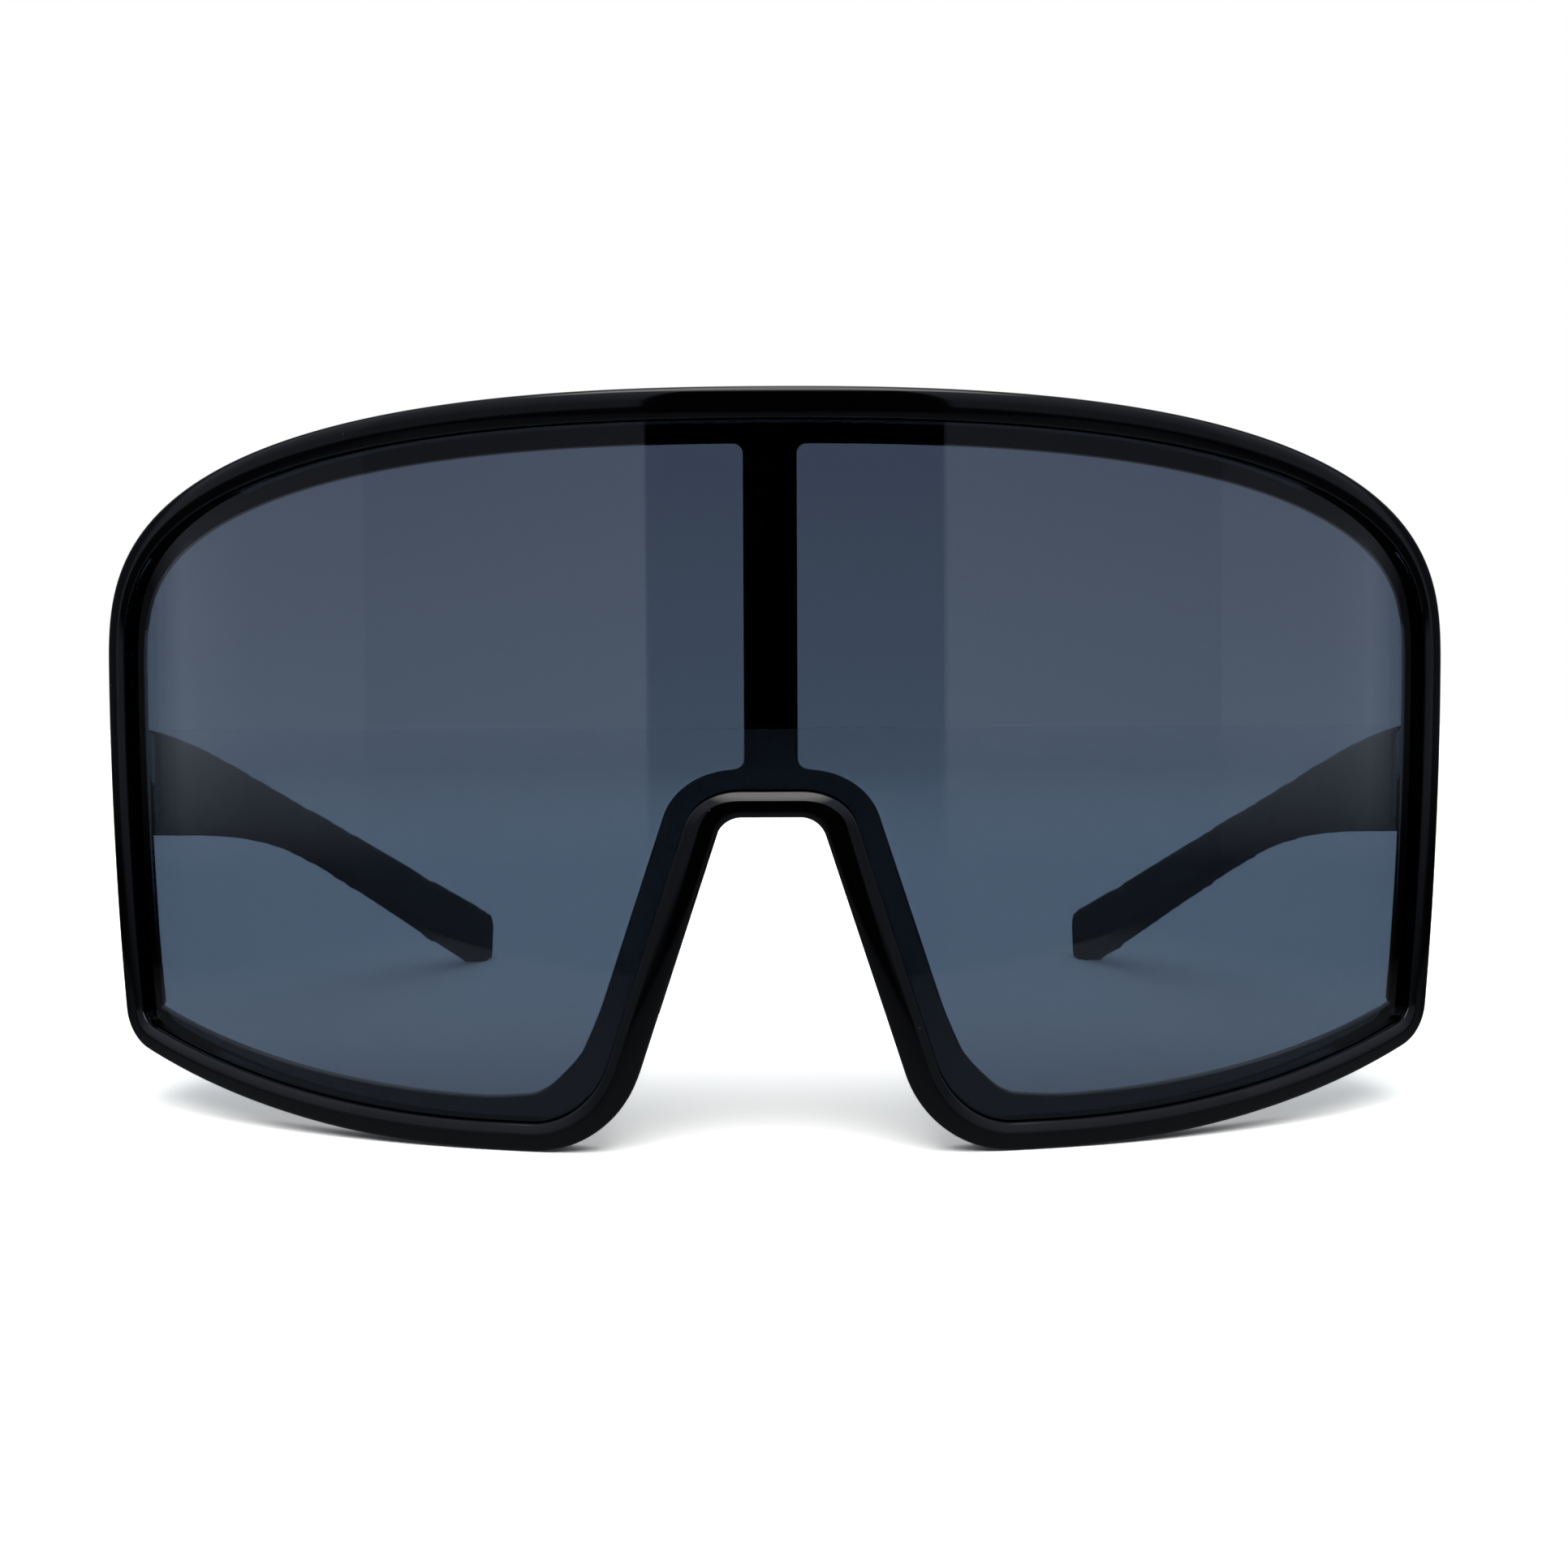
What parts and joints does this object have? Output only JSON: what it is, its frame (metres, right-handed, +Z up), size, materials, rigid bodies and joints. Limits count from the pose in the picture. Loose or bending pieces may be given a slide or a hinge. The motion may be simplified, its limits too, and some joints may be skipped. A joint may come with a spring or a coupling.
{
  "type": "sunglasses",
  "caption": "Wrap shield sunglasses: a glossy black moulded front with one curved smoke lens, soft nose pads and temples that fold behind it on barrel hinges.",
  "frame": {"origin": "middle of the whole open part, on the surface it stands on", "axes": "+Z up, +Y from the front back along the temples, +X to the wearer's left"},
  "size_m": [0.148, 0.162, 0.074],
  "materials": {
    "front_plastic": "polished black injection-moulded polycarbonate",
    "temple_plastic": "polished black injection-moulded polycarbonate",
    "smoke_lens": "smoke blue-grey tinted polycarbonate, see-through and polished",
    "pad_rubber": "matt black soft rubber",
    "hinge_metal": "blackened steel, satin",
    "screw_metal": "blackened steel, semi-gloss"
  },
  "bodies": {
    "front": {"front_frame": "front_plastic", "shield_lens": "smoke_lens", "nose_pad_left": "pad_rubber", "nose_pad_right": "pad_rubber", "hinge_front_leaf_left": "hinge_metal", "hinge_front_leaf_right": "hinge_metal", "hinge_screw_left": "screw_metal", "hinge_screw_right": "screw_metal"},
    "left_temple": {"temple_left": "temple_plastic", "hinge_temple_leaf_left": "hinge_metal"},
    "right_temple": {"temple_right": "temple_plastic", "hinge_temple_leaf_right": "hinge_metal"}
  },
  "joints": [
    {"name": "left_temple_fold", "type": "hinge", "parent": "front", "child": "left_temple", "pos_m": [0.0712, -0.04099, 0.0346], "axis": [0, 0, 1], "range_deg": [0, 85]},
    {"name": "right_temple_fold", "type": "hinge", "parent": "front", "child": "right_temple", "pos_m": [-0.0712, -0.04099, 0.0346], "axis": [0, 0, -1], "range_deg": [0, 78]}
  ]
}
